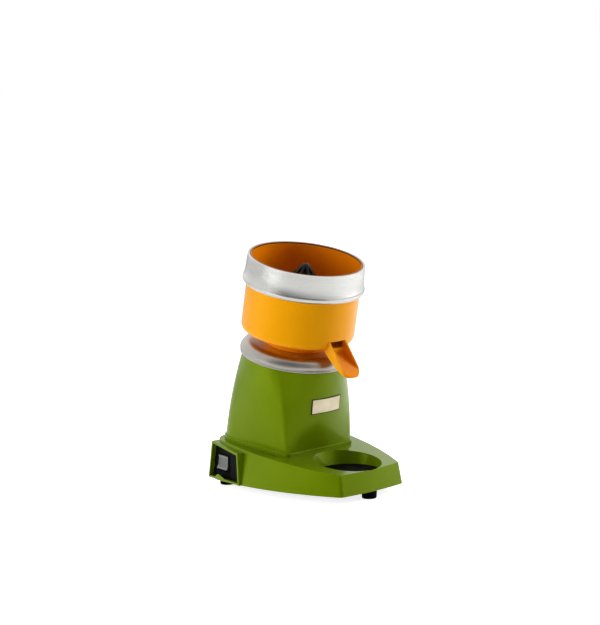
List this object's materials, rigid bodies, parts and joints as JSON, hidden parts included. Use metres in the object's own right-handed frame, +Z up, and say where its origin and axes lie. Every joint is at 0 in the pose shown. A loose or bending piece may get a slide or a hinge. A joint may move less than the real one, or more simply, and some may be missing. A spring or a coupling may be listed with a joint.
{
  "type": "electric citrus juicer",
  "caption": "Bar-top citrus juicer: leaning motor tower on a cast pan with a glass well, orange bowl with spout, spun splash band, slotted strainer and ribbed cone.",
  "frame": {"origin": "middle of the bounding box at the bench, under the feet", "axes": "+Z up, -Y to the spout and the glass well, -X to the switch"},
  "size_m": [0.2104, 0.261, 0.3514],
  "materials": {
    "green_paint": "gloss stove enamel",
    "black_rubber": "matte",
    "black_sheet": "satin black",
    "zinc_steel": "zinc plated",
    "plate_metal": "brushed, bare",
    "stainless": "satin spun",
    "turned_aluminium": "machined",
    "black_plastic": "moulded",
    "brass_tabs": "stamped",
    "motor_iron": "laminated",
    "copper_winding": "varnished copper wire",
    "bearing_steel": "ground",
    "pale_plastic": "moulded",
    "orange_plastic": "gloss moulded",
    "spun_aluminium": "spun and polished",
    "bronze": "sintered",
    "grey_plastic": "moulded"
  },
  "bodies": {
    "base": {"body_casting": "green_paint", "glass_mat": "black_rubber", "bottom_plate": "black_sheet", "bottom_plate_screws": "zinc_steel", "foot_front": "black_rubber", "foot_rear_left": "black_rubber", "foot_rear_right": "black_rubber", "foot_screws": "zinc_steel", "foot_nuts": "zinc_steel", "cable_gland": "black_rubber", "nameplate": "plate_metal", "collar_ring": "stainless", "seal_housing": "turned_aluminium", "seal_housing_screws": "zinc_steel", "shaft_seal": "black_rubber", "switch_bezel": "black_plastic", "switch_body": "black_plastic", "switch_terminals": "brass_tabs", "rocker_pin": "zinc_steel", "stator_core": "motor_iron", "stator_windings": "copper_winding", "upper_end_shield": "turned_aluminium", "lower_end_shield": "turned_aluminium", "motor_bolts": "zinc_steel", "bearing_outer_rings": "bearing_steel", "bearing_balls": "bearing_steel", "run_capacitor": "pale_plastic", "capacitor_clip": "zinc_steel", "terminal_block": "pale_plastic"},
    "rotor": {"motor_shaft": "bearing_steel", "drive_pin": "bearing_steel", "rotor_core": "motor_iron", "cooling_fan": "black_plastic", "bearing_inner_rings": "bearing_steel"},
    "juice_bowl": {"bowl": "orange_plastic", "splash_band": "spun_aluminium"},
    "strainer_basket": {"strainer": "stainless"},
    "cone_bush": {"reamer_bush": "bronze"},
    "cone": {"reamer": "black_plastic"},
    "rocker": {"switch_rocker": "grey_plastic"}
  },
  "joints": [
    {"name": "motor_spin", "type": "hinge", "parent": "base", "child": "rotor", "pos_m": [0.00198, 0.03, 0.1912], "axis": [0, -0.2011, 0.9796], "continuous": true},
    {"name": "bowl_lift", "type": "slide", "parent": "base", "child": "juice_bowl", "axis": [0, -0.2011, 0.9796], "range_m": [0, 0.12]},
    {"name": "strainer_lift", "type": "slide", "parent": "juice_bowl", "child": "strainer_basket", "axis": [0, -0.2011, 0.9796], "range_m": [0, 0.09]},
    {"name": "cone_lift", "type": "slide", "parent": "strainer_basket", "child": "cone_bush", "axis": [0, -0.2011, 0.9796], "range_m": [0, 0.07]},
    {"name": "cone_spin", "type": "hinge", "parent": "cone_bush", "child": "cone", "pos_m": [0.00198, 0.01391, 0.26957], "axis": [0, -0.2011, 0.9796], "continuous": true},
    {"name": "rocker_tilt", "type": "hinge", "parent": "base", "child": "rocker", "pos_m": [-0.08503, 0.08487, 0.0361], "axis": [-0.1564, -0.9877, 0], "range_deg": [0, 20]}
  ],
  "couplings": [
    {"joint": "cone_spin", "follows": "motor_spin", "ratio": 1}
  ]
}
